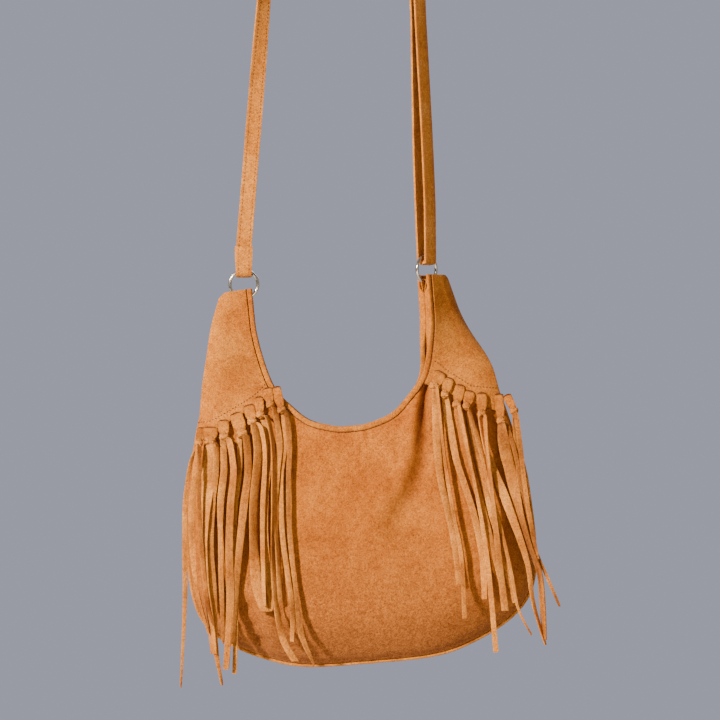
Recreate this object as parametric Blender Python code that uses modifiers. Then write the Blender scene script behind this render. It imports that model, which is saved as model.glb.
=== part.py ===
"""Fringed suede shoulder bag, hanging from its strap. Metres, +Z up, the bag's front faces -Y.

The origin is on the underside of the strap's crown. The bag has its own outline frame, (across, up) in
millimetres from the middle of the bag, which is tipped by BAG_ROLL and carried by hang().
"""

import math

import bmesh
import bpy
from mathutils import Vector

MM = 0.001
BAG_ROLL = math.radians(4.7)
BAG_CENTRE = Vector((0.020, 0.0, -0.755))
BAG_SHIFT = -10.0

SUEDE = 1.6
STRAP_WIDTH, STRAP_THICK = 15.5, 2.0
RING_MAJOR, RING_WIRE = 13.9, 1.65
RING_ACROSS, RING_UP = -95.5, 195.0
BINDING_WIDTH = 5.0
BINDING_THICK_FRONT, BINDING_THICK_BACK = 3.6, 2.4
WELT_RADIUS, WELT_BEYOND = 1.6, 1.9
TAB_WIDTH, TAB_THICK = 9.0, 1.0
GAP = 0.3
PANEL_INSET = 0.4

# The right ear turns by TWIST about the line across = TWIST_ABOUT, and is drawn in by TWIST_PULL.
TWIST = math.radians(46.0)
TWIST_ABOUT, TWIST_PULL = 84.0, 4.0
TWIST_FROM, TWIST_FULL = 70.0, 160.0
EDGE_DEPTH = 1.4

# Right half of the mouth edge, from the ear's inner corner to the middle of the mouth: (across, up).
MOUTH = [(88, 190), (87.7, 170), (87, 148), (83, 123), (77, 99.5), (70, 84), (59, 71), (41, 54.5),
         (16, 46), (0, 45)]
# The outer edge, from the ear's outer corner to the middle of the bottom, paired with MOUTH.
OUTER = [(119, 188), (131, 156), (138, 127), (145, 97), (150, 68), (156, 43), (170, -30), (163, -134),
         (88, -183), (0, -190)]
# How far along the mouth edge, of the way from the ear to the middle, the yoke reaches.
YOKE_END = 5 / 9
PANEL_COLUMNS, PANEL_ROWS = 36, 11
# Depth of each panel from the middle plane, against height.
DEPTH = [(190, 5.6), (150, 6.4), (100, 9), (50, 13), (0, 22), (-60, 31), (-110, 35), (-150, 33),
         (-190, 30)]
# How far in from the outer edge a panel reaches that depth, against height.
SPREAD = [(190, 14), (120, 18), (60, 34), (0, 48), (-110, 58), (-190, 60)]

for old in list(bpy.data.objects):
    bpy.data.objects.remove(old, do_unlink=True)

parts = bpy.data.collections.new("fringed_suede_bag")
bpy.context.scene.collection.children.link(parts)


def material(name, colour, roughness, metallic=0.0):
    made = bpy.data.materials.new(name)
    made.use_nodes = True
    shader = made.node_tree.nodes["Principled BSDF"]
    shader.inputs["Base Color"].default_value = (*colour, 1.0)
    shader.inputs["Roughness"].default_value = roughness
    shader.inputs["Metallic"].default_value = metallic
    return made


def smooth(low, high, value):
    share = min(max((value - low) / (high - low), 0.0), 1.0)
    return share * share * (3.0 - 2.0 * share)


def read(table, at):
    """The table's value at a height, joined by straight lines; the table runs downwards."""
    if at >= table[0][0]:
        return table[0][1]
    for (high, first), (low, second) in zip(table, table[1:]):
        if at >= low:
            return second + (first - second) * (at - low) / (high - low)
    return table[-1][1]


def along(points, share):
    """A point on a smooth curve through the points, which are evenly spaced in share."""
    last = len(points) - 1
    place = min(max(share, 0.0), 1.0) * last
    i = min(int(place), last - 1)
    t = place - i
    before, after = points[max(i - 1, 0)], points[min(i + 2, last)]
    out = []
    for a, b, c, d in zip(before, points[i], points[i + 1], after):
        out.append(0.5 * (2 * b + (c - a) * t + (2 * a - 5 * b + 4 * c - d) * t * t
                          + (3 * b - a - 3 * c + d) * t * t * t))
    return Vector(out)


OUTLINE = [along(OUTER, i / 60) for i in range(61)]


def edge_distance(across, up):
    """How far a point of the panel is from the outer edge."""
    here, gaps = Vector((abs(across), up)), []
    for a, b in zip(OUTLINE, OUTLINE[1:]):
        run = b - a
        t = min(max((here - a).dot(run) / run.length_squared, 0.0), 1.0)
        gaps.append((here - a - run * t).length)
    return min(gaps)


def depth(across, up):
    """How far the panel stands from the bag's middle plane."""
    near = min(edge_distance(across, up) / read(SPREAD, up), 1.0)
    rise = (1.0 - (1.0 - near) ** 2) ** 0.85
    return EDGE_DEPTH + (read(DEPTH, up) - EDGE_DEPTH) * rise


def hang(across, y, up):
    """A point of the bag, in metres in the world: the right ear is twisted, then the bag is tipped."""
    if across > 0:
        turn = TWIST * smooth(TWIST_FROM, TWIST_FULL, up) * smooth(20, 60, across)
        from_axis = across - TWIST_ABOUT
        across = TWIST_ABOUT + from_axis * math.cos(turn) - y * math.sin(turn)
        y = from_axis * math.sin(turn) + y * math.cos(turn)
        across -= TWIST_PULL * smooth(80, 130, up)
    across += BAG_SHIFT
    c, s = math.cos(BAG_ROLL), math.sin(BAG_ROLL)
    return BAG_CENTRE + Vector((across * c - up * s, y, across * s + up * c)) * MM


def panel_point(share, out):
    """share runs from the right ear's top (0) round the mouth to the left ear's top (1); out runs from
    the mouth (0) to the outer edge (1)."""
    side = 1 if share <= 0.5 else -1
    half = 2 * min(share, 1 - share)
    mouth, outer = along(MOUTH, half), along(OUTER, half)
    reach = outer - mouth
    start = mouth + reach.normalized() * (BINDING_WIDTH + 3 * GAP)
    stop = outer - reach.normalized() * PANEL_INSET
    place = start.lerp(stop, out)
    return side * place.x, place.y


def add(name, mesh, look, parent=None):
    made = bpy.data.objects.new(name, mesh)
    parts.objects.link(made)
    mesh.materials.clear()
    mesh.materials.append(look)
    if parent:
        made.parent = parent
        made.matrix_parent_inverse = parent.matrix_world.inverted()
    return made


def grid(name, columns, rows, place):
    """A grid primitive, columns by rows faces, with each point moved to place(s, t) in metres."""
    shape = bmesh.new()
    bmesh.ops.create_grid(shape, x_segments=columns, y_segments=rows, size=1.0)
    for vertex in shape.verts:
        vertex.co = place((vertex.co.x + 1) / 2, (vertex.co.y + 1) / 2)
    mesh = bpy.data.meshes.new(name)
    shape.to_mesh(mesh)
    shape.free()
    mesh.shade_smooth()
    return mesh


def thicken(made, thickness):
    solid = made.modifiers.new("Solidify", "SOLIDIFY")
    solid.thickness = thickness * MM
    solid.offset = 0.0
    solid.use_even_offset = True
    return made


def pivot(name, place):
    made = bpy.data.objects.new(name, None)
    parts.objects.link(made)
    made.location = place
    bpy.context.view_layer.update()
    return made


# Rings and the two lines that they turn about.
ring_left_centre = hang(RING_ACROSS, 0, RING_UP)
ring_right_centre = hang(-RING_ACROSS, 0, RING_UP)
drop = Vector((0, 0, RING_MAJOR * MM))
ring_left_pivot = pivot("ring_left_pivot", ring_left_centre + drop)
ring_right_pivot = pivot("ring_right_pivot", ring_right_centre + drop)
bag_pivot = pivot("bag_pivot", ring_left_centre - drop)

tan = material("tan_suede", (0.58, 0.25, 0.075), 0.95)
tan_pale = material("tan_suede_thong", (0.64, 0.30, 0.10), 0.95)
metal = material("pale_metal", (0.75, 0.72, 0.65), 0.2, 1.0)


def make_panel(name, front):
    def place(s, t):
        across, up = panel_point(s, t)
        return hang(across, -depth(across, up) if front else depth(across, up), up)

    made = add(name, grid(name, PANEL_COLUMNS, PANEL_ROWS, place), tan, bag_pivot)
    return thicken(made, SUEDE)


make_panel("front_panel", True)
make_panel("back_panel", False)


def make_yoke(name, side):
    """The ear patch lies on the front panel; its lower edge is the slit flange."""
    def place(s, t):
        share = s * YOKE_END / 2
        across, up = panel_point(share if side > 0 else 1 - share, t)
        steep = 1.0 - min(edge_distance(across, up) / read(SPREAD, up), 1.0)
        lift = (SUEDE + 2 * GAP) * (1.0 + 0.8 * steep)
        return hang(across, -depth(across, up) - lift, up)

    columns = round(PANEL_COLUMNS * YOKE_END / 2)
    return thicken(add(name, grid(name, columns, PANEL_ROWS, place), tan, bag_pivot), SUEDE)


make_yoke("front_yoke_left", -1)
make_yoke("front_yoke_right", 1)


def make_binding(name, front):
    """A strip over the mouth edge, as thick as the layers that it covers."""
    def place(s, t):
        side = 1 if s <= 0.5 else -1
        half = 2 * min(s, 1 - s)
        mouth, outer = along(MOUTH, half), along(OUTER, half)
        inwards = (outer - mouth).normalized()
        spot = mouth + inwards * BINDING_WIDTH * t
        stand = depth(mouth.x, mouth.y) + (SUEDE / 2 if front else 0)
        return hang(side * spot.x, -stand if front else stand, spot.y)

    made = add(name, grid(name, PANEL_COLUMNS, 1, place), tan, bag_pivot)
    return thicken(made, BINDING_THICK_FRONT if front else BINDING_THICK_BACK)


make_binding("mouth_binding_front", True)
make_binding("mouth_binding_back", False)


def tube(name, points, radius, look, parent, cyclic=False, resolution=2):
    """A round cord through the points."""
    curve = bpy.data.curves.new(name, "CURVE")
    curve.dimensions = "3D"
    curve.bevel_depth = radius * MM
    curve.bevel_resolution = resolution
    curve.use_fill_caps = True
    line = curve.splines.new("POLY")
    line.points.add(len(points) - 1)
    for point, place in zip(line.points, points):
        point.co = (*place, 1.0)
    line.use_cyclic_u = cyclic
    made = bpy.data.objects.new(name, curve)
    parts.objects.link(made)
    curve.materials.append(look)
    if parent:
        made.parent = parent
        made.matrix_parent_inverse = parent.matrix_world.inverted()
    return made


def make_welt():
    """Piping just outside the panels' edges, from one ear round the bottom to the other."""
    points = []
    for i in range(61):
        share = i / 60
        side = 1 if share <= 0.5 else -1
        half = 2 * min(share, 1 - share)
        outer, mouth = along(OUTER, half), along(MOUTH, half)
        spot = outer + (outer - mouth).normalized() * WELT_BEYOND
        points.append(hang(side * spot.x, 0, spot.y))
    return tube("seam_welt", points, WELT_RADIUS, tan, bag_pivot, resolution=1)


make_welt()


def ribbon(name, stations, width, thickness, look, parent=None):
    """A flat strip through stations, each (centre in metres, direction across the strip)."""
    count = len(stations) - 1

    def place(s, t):
        centre, across = stations[round(s * count)]
        return centre + across.normalized() * width * MM * (t - 0.5)

    made = add(name, grid(name, count, 1, place), look, parent)
    made.data.shade_flat()
    return thicken(made, thickness)


def make_ring(name, centre, turn, parent):
    bpy.ops.mesh.primitive_torus_add(
        location=centre, rotation=(math.pi / 2, 0, turn), major_segments=36, minor_segments=10,
        major_radius=RING_MAJOR * MM, minor_radius=RING_WIRE * MM)
    made = bpy.context.object
    made.name = made.data.name = name
    for home in list(made.users_collection):
        home.objects.unlink(made)
    parts.objects.link(made)
    made.data.materials.append(metal)
    made.data.shade_smooth()
    bpy.context.view_layer.update()
    made.parent = parent
    made.matrix_parent_inverse = parent.matrix_world.inverted()
    return made


make_ring("ring_left", ring_left_centre, 0.0, ring_left_pivot)
make_ring("ring_right", ring_right_centre, TWIST, ring_right_pivot)


def make_tab(name, centre, turn):
    """A suede loop over the ring's lowest point, whose two legs hang down inside the ear."""
    across = Vector((math.cos(turn), math.sin(turn), 0))
    front = Vector((math.sin(turn), -math.cos(turn), 0))
    wire = centre - drop
    bend, rise = RING_WIRE + TAB_THICK / 2 + 1.2, 1.0
    stations = []
    for height in (-20, -13, -6):
        stations.append((wire + (front * 1.9 + Vector((0, 0, height))) * MM, across))
    for i in range(9):
        angle = -math.pi / 10 + math.pi * 1.2 * i / 8
        out = math.cos(angle) * bend
        stations.append((wire + (front * out + Vector((0, 0, math.sin(angle) * bend + rise))) * MM, across))
    for height in (-6, -13, -20):
        stations.append((wire + (front * -1.9 + Vector((0, 0, height))) * MM, across))
    return ribbon(name, stations, TAB_WIDTH, TAB_THICK, tan, bag_pivot)


make_tab("ring_tab_left", ring_left_centre, 0.0)
make_tab("ring_tab_right", ring_right_centre, TWIST)

# The strap, in the world.
CROWN_HALF, CROWN_FLAT = 63.0, 9.0
SLIDER_HEIGHT = 335.0
BAR_RADIUS, SLIDER_HALF_WIDE, SLIDER_HALF_HIGH = 1.5, 10.5, 14.0
# The strap's way through the slider: (height over its middle bar, distance behind it).
SLIDER_WEAVE = [(24, 3.2), (16, 3.2), (12.5, 3), (7, -3), (0, -7), (-7, -3), (-12.5, 3), (-17, 3)]
UP = Vector((0, 0, 1))
LOOP_STEPS = 8
# The strap's two legs at the left ring: (height over the wire, distance out from it).
LEFT_FRONT = [(24, 2.4), (14, 2.5), (7, 3.2)]
LEFT_BACK = [(7, 2.2), (14, 0.3), (24, 0.0)]
LEFT_CLEAR, LEFT_SAG = 1.5, 1.7
RIGHT_CLEAR, RIGHT_SAG = 2.3, 3.3
# How far apart the doubled strap's legs hang just under the slider.
LEGS_APART = 1.8


def turned(angle):
    return Vector((math.cos(angle), math.sin(angle), 0))


def under_wire(wire, back, bend, sag):
    """Places round the underside of a ring's wire, from in front of it to behind it."""
    places = []
    for i in range(LOOP_STEPS + 1):
        angle = math.pi * i / LOOP_STEPS
        places.append(wire - (back * math.cos(angle) * bend + UP * (math.sin(angle) * bend + sag)) * MM)
    return places


def left_end(wire):
    """The turned-up end in front of the left ring, then under the wire and up behind it."""
    back = Vector((0, 1, 0))
    places = [wire + (UP * height - back * out) * MM for height, out in LEFT_FRONT]
    places += under_wire(wire, back, RING_WIRE + LEFT_CLEAR + STRAP_THICK / 2, LEFT_SAG)
    places += [wire + (UP * height + back * out) * MM for height, out in LEFT_BACK]
    return [(place, Vector((1, 0, 0))) for place in places]


def over_crown(foot):
    """Up to the crown, turning until the strip lies flat on its arch, and over it."""
    stations = []
    shoulder = Vector((-CROWN_HALF, 0, -CROWN_HALF)) * MM
    for i in range(1, 13):
        share = i / 13
        stations.append((foot.lerp(shoulder, share), turned(smooth(0.15, 1.0, share) * math.pi / 2)))
    bend = CROWN_HALF - CROWN_FLAT
    for side in (-1, 1):
        for i in range(9):
            angle = math.pi / 2 * (i / 8 if side < 0 else 1 - i / 8)
            x = side * (CROWN_FLAT + math.cos(angle) * bend)
            z = -CROWN_HALF + math.sin(angle) * bend + CROWN_FLAT + STRAP_THICK / 2
            stations.append((Vector((x, 0, z)) * MM, Vector((0, 1, 0))))
    return stations


def into_slider(middle, back):
    """Down from the crown and through the slider."""
    stations = []
    shoulder = Vector((CROWN_HALF, 0, -CROWN_HALF)) * MM
    above = middle + (back * 3.2 + UP * 30) * MM
    for i in range(1, 6):
        share = i / 6
        stations.append((shoulder.lerp(above, share), turned(math.pi / 2 + (TWIST - math.pi / 2) * share)))
    for height, out in SLIDER_WEAVE:
        stations.append((middle + (back * out + UP * height) * MM, turned(TWIST)))
    return stations


def right_loop(wire, middle, back):
    """Down in front to the right ring, under its wire, and up behind."""
    bend = RING_WIRE + RIGHT_CLEAR + STRAP_THICK / 2
    low, high = wire + UP * 10 * MM, middle - UP * 22 * MM
    legs = []
    for i in range(1, 8):
        share = i / 8
        apart = LEGS_APART + (bend + 1.2 - LEGS_APART) * smooth(0.0, 0.8, share)
        legs.append((high.lerp(low, share), apart, apart - LEGS_APART))
    places = [place - back * (apart - 3.0 * (1 - smooth(0, 0.3, gone))) * MM for place, apart, gone in legs]
    places += under_wire(wire, back, bend, RIGHT_SAG)
    for place, apart, gone in reversed(legs):
        places.append(place + back * (apart + 3.4 * (1 - smooth(0, 0.5, gone))) * MM)
    return [(place, turned(TWIST)) for place in places]


def slider_end(middle, back):
    """The end is wrapped over the slider's middle bar and sewn back on itself."""
    bend = BAR_RADIUS + 0.6 + STRAP_THICK / 2
    places = [middle + (back * 5.6 + UP * height) * MM for height in (-17, -10)]
    for i in range(11):
        angle = math.pi * 1.25 * i / 10
        places.append(middle + (back * math.cos(angle) * bend + UP * math.sin(angle) * bend) * MM)
    return [(place, turned(TWIST)) for place in places]


def slider_middle():
    return ring_right_centre + drop + Vector((-11.0, 0, SLIDER_HEIGHT)) * MM


def strap_route():
    """Stations of the whole strap, from its sewn end at the left ring to its end on the slider."""
    left, right = ring_left_centre + drop, ring_right_centre + drop
    middle, back = slider_middle(), Vector((-math.sin(TWIST), math.cos(TWIST), 0))
    stations = left_end(left) + over_crown(left + UP * 24 * MM) + into_slider(middle, back)
    return stations + right_loop(right, middle, back) + slider_end(middle, back)


ribbon("strap", strap_route(), STRAP_WIDTH, STRAP_THICK, tan)


def make_slider():
    """A three-bar slider: an oblong wire frame with a middle bar, joined into one body."""
    middle, across = slider_middle(), turned(TWIST)
    corners = []
    for i in range(24):
        angle = 2 * math.pi * i / 24
        c, s = math.cos(angle), math.sin(angle)
        x = math.copysign(abs(c) ** 0.25, c) * SLIDER_HALF_WIDE
        z = math.copysign(abs(s) ** 0.25, s) * SLIDER_HALF_HIGH
        corners.append(middle + across * x * MM + Vector((0, 0, z)) * MM)
    frame = tube("slider_frame", corners, BAR_RADIUS, metal, None, cyclic=True)
    ends = [middle - across * SLIDER_HALF_WIDE * MM, middle + across * SLIDER_HALF_WIDE * MM]
    bar = tube("slider_bar", ends, BAR_RADIUS * 0.85, metal, None)
    return fuse("slider", [frame, bar], metal, None)


def as_mesh(made):
    """A mesh object in place of a curve or of one with modifiers."""
    bpy.context.view_layer.update()
    graph = bpy.context.evaluated_depsgraph_get()
    mesh = bpy.data.meshes.new_from_object(made.evaluated_get(graph))
    shape = bmesh.new()
    shape.from_mesh(mesh)
    bmesh.ops.remove_doubles(shape, verts=shape.verts, dist=1e-6)
    bmesh.ops.recalc_face_normals(shape, faces=shape.faces)
    shape.transform(made.matrix_world)
    shape.to_mesh(mesh)
    shape.free()
    bpy.data.objects.remove(made, do_unlink=True)
    return mesh


def fuse(name, pieces, look, parent):
    """One closed body from several that overlap."""
    meshes = [as_mesh(piece) for piece in pieces]
    base = add(name, meshes[0], look)
    tools = []
    for mesh in meshes[1:]:
        tool = add(name + "_tool", mesh, look)
        union = base.modifiers.new("Union", "BOOLEAN")
        union.operation = "UNION"
        union.object = tool
        union.use_self = True
        tools.append(tool)
    joined = as_mesh(base)
    for tool in tools:
        bpy.data.objects.remove(tool, do_unlink=True)
    return add(name, joined, look, parent)


make_slider()

# Each thong: its slit and its knot, the width of its loop, then its strands, each a list of (x, z, width).
# x is across from the origin and z is up from BAG_CENTRE, in the hanging bag, in millimetres.
THONGS = {
    "left": [
        ((-142, 42), (-145, 28), 7, [
            [(-145, 24, 4), (-153, 8, 4), (-158, -30, 5), (-158, -70, 6), (-158, -130, 5), (-162, -213, 2)],
            [(-145, 23, 5), (-148, 0, 6), (-151, -35, 8), (-150, -75, 8), (-146, -115, 4), (-134, -160, 2)],
            [(-144, 21, 4), (-144, -10, 4), (-143, -50, 5),
             (-140, -90, 5), (-135, -130, 4), (-129, -152, 3)],
        ]),
        ((-134, 43), (-134, 30), 13, [
            [(-134, 24, 13), (-135, 0, 17), (-137, -30, 12), (-139, -70, 6),
             (-137, -105, 6), (-133, -140, 7), (-129, -180, 6)],
            [(-128, 24, 7), (-128, 0, 7), (-131, -35, 7), (-132, -75, 6),
             (-130, -120, 9), (-128, -170, 7), (-121, -211, 2)],
        ]),
        ((-121, 50), (-120, 34), 9, [
            [(-121, 28, 7), (-120, 0, 8), (-123, -30, 8), (-123, -70, 5), (-122, -110, 6), (-120, -170, 3)],
            [(-114, 28, 7), (-110, 0, 7), (-113, -35, 8), (-114, -80, 9), (-113, -130, 9), (-117, -195, 6)],
        ]),
        ((-109, 57), (-102, 37), 11, [
            [(-105, 31, 6), (-104, 0, 5), (-108, -35, 5), (-109, -75, 5), (-107, -130, 4), (-109, -200, 5)],
            [(-98, 32, 8), (-96, 0, 8), (-100, -35, 9), (-104, -75, 8), (-108, -120, 7), (-111, -170, 6)],
        ]),
        ((-96, 65), (-92, 49), 9, [
            [(-89, 43, 8), (-86, 15, 9), (-90, -30, 10), (-90, -70, 10), (-87, -110, 13), (-79, -138, 10)],
            [(-83, 42, 5), (-79, 15, 5), (-81, -30, 6), (-81, -75, 5), (-79, -132, 4)],
        ]),
        ((-86, 73), (-84, 56), 7, [
            [(-80, 50, 8), (-74, 20, 7), (-78, -20, 7), (-78, -60, 6), (-75, -105, 7), (-73, -138, 6)],
            [(-76, 50, 4), (-71, 20, 3), (-71, -30, 4), (-71, -80, 5),
             (-68, -130, 5), (-61, -165, 8), (-49, -187, 9)],
        ]),
        ((-77, 82), (-74, 66), 7, [
            [(-70, 60, 5), (-65, 30, 7), (-67, 0, 7), (-69, -40, 5), (-66, -90, 4), (-64, -130, 5)],
        ]),
        ((-69, 83), (-63, 61), 7, [
            [(-61, 56, 5), (-60, 25, 6), (-63, -10, 5), (-62, -60, 6),
             (-56, -105, 6), (-52, -135, 6), (-52, -168, 4)],
            [(-58, 56, 6), (-55, 25, 6), (-56, -20, 5), (-54, -70, 5),
             (-48, -120, 5), (-43, -160, 7), (-30, -191, 3)],
        ]),
    ],
    "right": [
        ((96, 98), (89, 84), 10, [
            [(90, 79, 8), (91, 30, 9), (95, -10, 8), (102, -40, 7), (109, -75, 8), (113, -111, 7)],
            [(92, 79, 3), (97, 30, 3), (102, -10, 4), (108, -45, 4), (115, -85, 5), (118, -145, 5)],
        ]),
        ((104, 92), (99, 76), 8, [
            [(100, 71, 8), (105, 40, 9), (111, 10, 8), (119, -15, 8),
             (128, -45, 8), (136, -85, 7), (138, -126, 6)],
        ]),
        ((115, 85), (111, 66), 8, [
            [(114, 61, 7), (120, 30, 7), (127, 0, 7), (134, -28, 7),
             (141, -55, 7), (147, -80, 7), (154, -108, 6)],
            [(114, 61, 4), (122, 20, 4), (130, -20, 4), (137, -60, 5), (143, -110, 6), (149, -178, 6)],
        ]),
        ((125, 79), (121, 64), 8, [
            [(122, 59, 6), (129, 25, 7), (136, -5, 7), (144, -40, 6),
             (153, -70, 7), (161, -100, 7), (168, -130, 6)],
            [(124, 59, 4), (134, 20, 4), (144, -20, 4), (155, -60, 4),
             (164, -100, 4), (171, -135, 3), (184, -161, 2)],
        ]),
        ((136, 77), (136, 57), 8, [
            [(135, 51, 6), (139, 25, 5), (147, 3, 8), (156, -20, 11), (165, -45, 10),
             (174, -70, 8), (181, -95, 6), (186, -130, 4), (198, -171, 2)],
            [(139, 51, 4), (141, 20, 4), (145, -15, 5), (149, -55, 5), (153, -95, 7), (158, -137, 8)],
        ]),
        ((153, 76), (155, 50), 7, [
            [(156, 44, 11), (159, 20, 14), (166, -10, 12), (173, -40, 8),
             (181, -70, 7), (192, -100, 6), (195, -130, 6), (197, -165, 4)],
            [(161, 44, 5), (168, 20, 5), (174, -10, 5), (180, -45, 5),
             (188, -78, 5), (200, -105, 4), (212, -133, 3)],
        ]),
        ((161, 75), (168, 60), 6, [
            [(168, 54, 4), (170, 20, 5), (174, -20, 5), (181, -60, 5), (190, -95, 4), (196, -130, 4)],
            [(170, 54, 6), (173, 30, 6), (176, 5, 5), (180, -30, 5), (185, -60, 5), (190, -86, 4)],
        ]),
    ],
}
THONG_THICK, KNOT_THICK, KNOT_WIDE = 1.4, 6.0, 7.6
THIN = THONG_THICK / KNOT_THICK
# The loop down to the knot: (share of the way, share of the width, share of the knot's thickness).
LOOP_ROWS = [(0, 1, THIN), (0.45, 1, THIN), (0.8, 0.9, 0.7)]
# How far the knots stand in front of the bag, and the loops in front of the flange.
KNOT_FORWARD, FLANGE_FORWARD = 7.5, 3.8
# The first strand hangs LAYERS_FROM in front of the bag, and each one over it LAYER further forward.
LAYERS_FROM, LAYER = 4.6, 1.85
# Beyond these lines the fringe hangs as far forward as it does on them.
FRINGE_INNER = (-108, 132)

HUNG = {}


def bag_place(x, z):
    """(across, up) in the bag's outline frame, for a place in the world."""
    c, s = math.cos(BAG_ROLL), math.sin(BAG_ROLL)
    x -= BAG_CENTRE.x / MM
    return x * c + z * s - BAG_SHIFT, z * c - x * s


def front_of(x, z):
    """How far forward the bag's front is behind a place, in millimetres; 0 beside the bag."""
    across, up = bag_place(x, z)
    if edge_distance(across, up) < 1.0 or abs(across) > 168 or up > 180 or up < -185:
        return 0.0
    return depth(across, up) + SUEDE / 2


def hung_over(x, z):
    """How far forward a strand hangs: at least as far as the bag's front reaches above it."""
    key = (round(min(max(x, FRINGE_INNER[0]), FRINGE_INNER[1])), round(z))
    if key not in HUNG:
        above = 0.0 if z > 60.0 else hung_over(x, z + 6.0)
        HUNG[key] = max(front_of(*key), above)
    return HUNG[key]


def laid(points, start, layer):
    """Rows of a strand that hangs from a knot over the bulging front: (left, right), in metres."""
    samples = 5 * (len(points) - 1)
    rows = []
    for i in range(samples + 1):
        x, z, width = along(points, i / samples)
        ends = (x - width / 2, x + width / 2)
        under = hung_over(x, z)
        leaving = min((i + 1) / 4, 1.0)
        forward = start + (under + layer - start) * leaving
        rows.append([Vector((end * MM, -forward * MM, BAG_CENTRE.z + z * MM)) for end in ends])
    return rows


def across_row(shape, centre, forward, wide, weight, count):
    """count + 1 points across the strip, with their share of the knot's thickness."""
    thickness = shape.verts.layers.deform.verify()
    made = []
    for i in range(count + 1):
        x = centre.x + wide * (i / count - 0.5)
        made.append(shape.verts.new((x * MM, -forward * MM, BAG_CENTRE.z + centre.y * MM)))
        made[-1][thickness][0] = weight
    return made


def knotted_head(shape, slit, knot, width, count):
    """The loop's front half over the flange and the thick knot under it; returns the knot's lower row."""
    knot_forward = hung_over(*knot) + KNOT_FORWARD
    over = max(front_of(slit[0] + at, slit[1]) for at in (-width / 2, 0, width / 2))
    flange = over + SUEDE + FLANGE_FORWARD
    top, low = Vector(slit), Vector(knot)
    rows = []
    for t, wide, weight in LOOP_ROWS:
        forward = flange + (knot_forward - flange) * t
        rows.append(across_row(shape, top.lerp(low, t), forward, width * wide, weight, count))
    rows.append(across_row(shape, low, knot_forward, KNOT_WIDE, 1.0, count))
    under = low - Vector((0, KNOT_THICK / 2))
    rows.append(across_row(shape, under, knot_forward, 0.85 * KNOT_WIDE, 0.7, count))
    for upper, lower in zip(rows, rows[1:]):
        for i in range(count):
            shape.faces.new((upper[i], lower[i], lower[i + 1], upper[i + 1]))
    return rows[-1], knot_forward


def add_strand(shape, upper, ends_down):
    """A strand's faces, from the pair of points that it leaves the knot by."""
    thickness = shape.verts.layers.deform.verify()
    for ends in ends_down:
        lower = [shape.verts.new(end) for end in ends]
        for vertex in lower:
            vertex[thickness][0] = THIN
        shape.faces.new((upper[0], lower[0], lower[1], upper[1]))
        upper = lower


def make_thong(name, order, slit, knot, width, strands):
    """One strip of suede, knotted round the flange and cut into strands below its knot."""
    shape = bmesh.new()
    shape.verts.layers.deform.verify()
    under, knot_forward = knotted_head(shape, slit, knot, width, len(strands))
    for i, points in enumerate(strands):
        layer = LAYERS_FROM + LAYER * (2 * i + order)
        add_strand(shape, under[i:i + 2], laid(points, knot_forward, layer))
    mesh = bpy.data.meshes.new(name)
    shape.to_mesh(mesh)
    shape.free()
    made = add(name, mesh, tan_pale, bag_pivot)
    made.vertex_groups.new(name="thickness")
    thicken(made, KNOT_THICK).modifiers["Solidify"].vertex_group = "thickness"


for side, thongs in THONGS.items():
    for number, (slit, knot, width, strands) in enumerate(thongs, 1):
        make_thong(f"thong_{side}_{number}", number % 2, slit, knot, width, strands)
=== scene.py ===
"""The fringed suede bag's looks: suede panels, yokes, bound mouth, knotted fringe, strap and rings."""

import math

import bmesh
import bpy
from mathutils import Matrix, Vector, noise
from mathutils.bvhtree import BVHTree


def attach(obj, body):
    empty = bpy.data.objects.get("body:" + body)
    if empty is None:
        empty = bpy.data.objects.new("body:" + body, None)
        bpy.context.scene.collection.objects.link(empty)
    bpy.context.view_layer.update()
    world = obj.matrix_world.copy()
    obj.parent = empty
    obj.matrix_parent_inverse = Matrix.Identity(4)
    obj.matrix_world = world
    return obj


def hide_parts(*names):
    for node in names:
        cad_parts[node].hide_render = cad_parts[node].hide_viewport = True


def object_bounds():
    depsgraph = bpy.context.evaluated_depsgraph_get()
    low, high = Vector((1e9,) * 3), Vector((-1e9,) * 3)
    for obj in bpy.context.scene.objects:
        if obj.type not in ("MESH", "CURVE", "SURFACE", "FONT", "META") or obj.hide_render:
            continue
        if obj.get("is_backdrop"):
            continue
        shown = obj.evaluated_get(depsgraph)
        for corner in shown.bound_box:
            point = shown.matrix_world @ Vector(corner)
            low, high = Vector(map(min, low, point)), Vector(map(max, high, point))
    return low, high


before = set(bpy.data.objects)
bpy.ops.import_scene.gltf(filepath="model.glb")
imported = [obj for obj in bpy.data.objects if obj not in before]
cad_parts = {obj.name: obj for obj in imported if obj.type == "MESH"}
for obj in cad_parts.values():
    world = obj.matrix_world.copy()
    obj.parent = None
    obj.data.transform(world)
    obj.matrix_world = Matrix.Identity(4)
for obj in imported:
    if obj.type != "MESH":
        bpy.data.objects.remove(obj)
cad_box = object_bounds()

MM = 0.001
BAG_ROLL = math.radians(4.7)
BAG_CENTRE = Vector((0.020, 0.0, -0.755))
BAG_SHIFT = -10.0

SUEDE = 1.6
STRAP_WIDTH, STRAP_THICK = 15.5, 2.0
RING_MAJOR, RING_WIRE = 13.9, 1.65
RING_ACROSS, RING_UP = -95.5, 195.0
BINDING_WIDTH = 5.0
GAP = 0.3

TWIST = math.radians(46.0)
TWIST_ABOUT, TWIST_PULL = 84.0, 4.0
EDGE_DEPTH = 1.4
CROWN_HALF, CROWN_FLAT = 63.0, 9.0
SLIDER_HEIGHT = 335.0
BAR_RADIUS, SLIDER_HALF_WIDE, SLIDER_HALF_HIGH = 1.5, 10.5, 14.0
# The strap's way through the slider: (height over its middle bar, distance behind it).
SLIDER_WEAVE = [(24, 3.2), (16, 3.2), (12.5, 3), (7, -3), (0, -7), (-7, -3), (-12.5, 3), (-17, 3)]

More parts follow.
